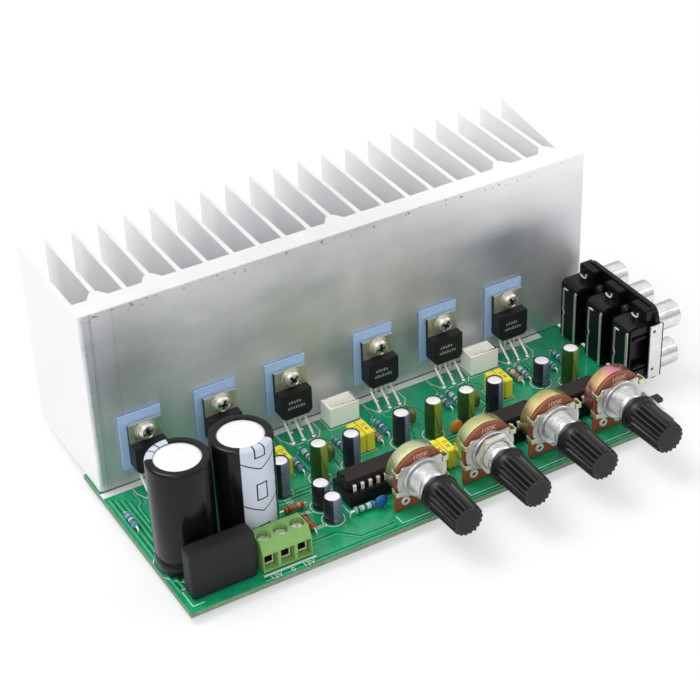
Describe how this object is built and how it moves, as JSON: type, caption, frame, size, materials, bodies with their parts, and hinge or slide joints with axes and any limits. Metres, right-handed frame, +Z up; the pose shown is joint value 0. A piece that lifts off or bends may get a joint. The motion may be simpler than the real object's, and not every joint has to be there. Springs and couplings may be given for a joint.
{
  "type": "audio amplifier board",
  "caption": "Audio amplifier board with power chips on a finned heatsink, rotary controls with ribbed knobs, phono jacks and screw terminals.",
  "frame": {"origin": "middle of the object's box, on the surface it stands on", "axes": "+X along the heatsink towards the phono jacks, +Y from the knobs towards the fins, +Z up"},
  "size_m": [0.1756, 0.1198, 0.0632],
  "materials": {
    "aluminium": "extruded, satin",
    "solder_mask": "glossy lacquer",
    "chip_plastic": "moulded, matt",
    "insulating_sheet": "soft sheet",
    "plated_steel": "plated",
    "capacitor_sleeve": "shrink sleeve",
    "rectifier_plastic": "moulded, matt",
    "terminal_plastic": "moulded",
    "tinned_cage": "tinned",
    "socket_plastic": "moulded",
    "passivated_steel": "yellow passivated",
    "brown_laminate": "laminate",
    "die_cast_zinc": "die cast",
    "shaft_metal": "turned",
    "knob_plastic": "moulded, ribbed",
    "jack_plastic": "moulded",
    "jack_metal": "nickel plated",
    "switch_can": "tinned",
    "lever_plastic": "moulded",
    "white_nylon": "moulded"
  },
  "bodies": {
    "amplifier_board": {"heatsink": "aluminium", "circuit_board": "solder_mask", "amplifier_chip_1": "chip_plastic", "amplifier_chip_2": "chip_plastic", "amplifier_chip_3": "chip_plastic", "amplifier_chip_4": "chip_plastic", "amplifier_chip_5": "chip_plastic", "amplifier_chip_6": "chip_plastic", "insulator_pad_1": "insulating_sheet", "insulator_pad_2": "insulating_sheet", "insulator_pad_3": "insulating_sheet", "insulator_pad_4": "insulating_sheet", "insulator_pad_5": "insulating_sheet", "insulator_pad_6": "insulating_sheet", "chip_screw_1": "plated_steel", "chip_screw_2": "plated_steel", "chip_screw_3": "plated_steel", "chip_screw_4": "plated_steel", "chip_screw_5": "plated_steel", "chip_screw_6": "plated_steel", "reservoir_capacitor_1": "capacitor_sleeve", "reservoir_capacitor_2": "capacitor_sleeve", "bridge_rectifier": "rectifier_plastic", "terminal_block": "terminal_plastic", "chip_socket": "socket_plastic", "control_chip": "chip_plastic", "control_can_1": "passivated_steel", "control_wafer_1": "brown_laminate", "control_bushing_1": "die_cast_zinc", "control_can_2": "passivated_steel", "control_wafer_2": "brown_laminate", "control_bushing_2": "die_cast_zinc", "control_can_3": "passivated_steel", "control_wafer_3": "brown_laminate", "control_bushing_3": "die_cast_zinc", "control_can_4": "passivated_steel", "control_wafer_4": "brown_laminate", "control_bushing_4": "die_cast_zinc", "control_nut": "die_cast_zinc", "jack_housing": "jack_plastic", "jack_plate": "jack_metal", "switch_body": "switch_can", "speaker_header_1": "white_nylon", "speaker_header_2": "white_nylon"},
    "control_rotor_1": {"control_shaft_1": "shaft_metal", "control_knob_1": "knob_plastic"},
    "control_rotor_2": {"control_shaft_2": "shaft_metal", "control_knob_2": "knob_plastic"},
    "control_rotor_3": {"control_shaft_3": "shaft_metal", "control_knob_3": "knob_plastic"},
    "control_rotor_4": {"control_shaft_4": "shaft_metal", "control_knob_4": "knob_plastic"},
    "switch_slider": {"switch_lever": "lever_plastic"},
    "clamp_screw_1": {"terminal_screw_1": "plated_steel"},
    "clamp_screw_2": {"terminal_screw_2": "plated_steel"},
    "clamp_screw_3": {"terminal_screw_3": "plated_steel"},
    "clamp_cage_1": {"terminal_cage_1": "tinned_cage"},
    "clamp_cage_2": {"terminal_cage_2": "tinned_cage"},
    "clamp_cage_3": {"terminal_cage_3": "tinned_cage"}
  },
  "joints": [
    {"name": "control_turn_1", "type": "hinge", "parent": "amplifier_board", "child": "control_rotor_1", "pos_m": [-0.01285, -0.0448, 0.0138], "axis": [0, -1, 0], "range_deg": [-150, 150]},
    {"name": "control_turn_2", "type": "hinge", "parent": "amplifier_board", "child": "control_rotor_2", "pos_m": [0.00965, -0.0448, 0.0138], "axis": [0, -1, 0], "range_deg": [-150, 150]},
    {"name": "control_turn_3", "type": "hinge", "parent": "amplifier_board", "child": "control_rotor_3", "pos_m": [0.03215, -0.0448, 0.0138], "axis": [0, -1, 0], "range_deg": [-150, 150]},
    {"name": "control_turn_4", "type": "hinge", "parent": "amplifier_board", "child": "control_rotor_4", "pos_m": [0.05465, -0.0448, 0.0138], "axis": [0, -1, 0], "range_deg": [-150, 150]},
    {"name": "switch_slide", "type": "slide", "parent": "amplifier_board", "child": "switch_slider", "axis": [0, -1, 0], "range_m": [0, 0.002]},
    {"name": "clamp_turn_1", "type": "hinge", "parent": "amplifier_board", "child": "clamp_screw_1", "pos_m": [-0.06181, -0.0349, 0.0109], "axis": [0, 0, -1], "range_deg": [0, 724]},
    {"name": "clamp_rise_1", "type": "slide", "parent": "amplifier_board", "child": "clamp_cage_1", "axis": [0, 0, 1], "range_m": [0, 0.001]},
    {"name": "clamp_turn_2", "type": "hinge", "parent": "amplifier_board", "child": "clamp_screw_2", "pos_m": [-0.05673, -0.0349, 0.0109], "axis": [0, 0, -1], "range_deg": [0, 724]},
    {"name": "clamp_rise_2", "type": "slide", "parent": "amplifier_board", "child": "clamp_cage_2", "axis": [0, 0, 1], "range_m": [0, 0.001]},
    {"name": "clamp_turn_3", "type": "hinge", "parent": "amplifier_board", "child": "clamp_screw_3", "pos_m": [-0.05165, -0.0349, 0.0109], "axis": [0, 0, -1], "range_deg": [0, 724]},
    {"name": "clamp_rise_3", "type": "slide", "parent": "amplifier_board", "child": "clamp_cage_3", "axis": [0, 0, 1], "range_m": [0, 0.001]}
  ],
  "couplings": [
    {"joint": "clamp_turn_1", "follows": "clamp_rise_1", "rad_per_m": 12566},
    {"joint": "clamp_turn_2", "follows": "clamp_rise_2", "rad_per_m": 12566},
    {"joint": "clamp_turn_3", "follows": "clamp_rise_3", "rad_per_m": 12566}
  ]
}
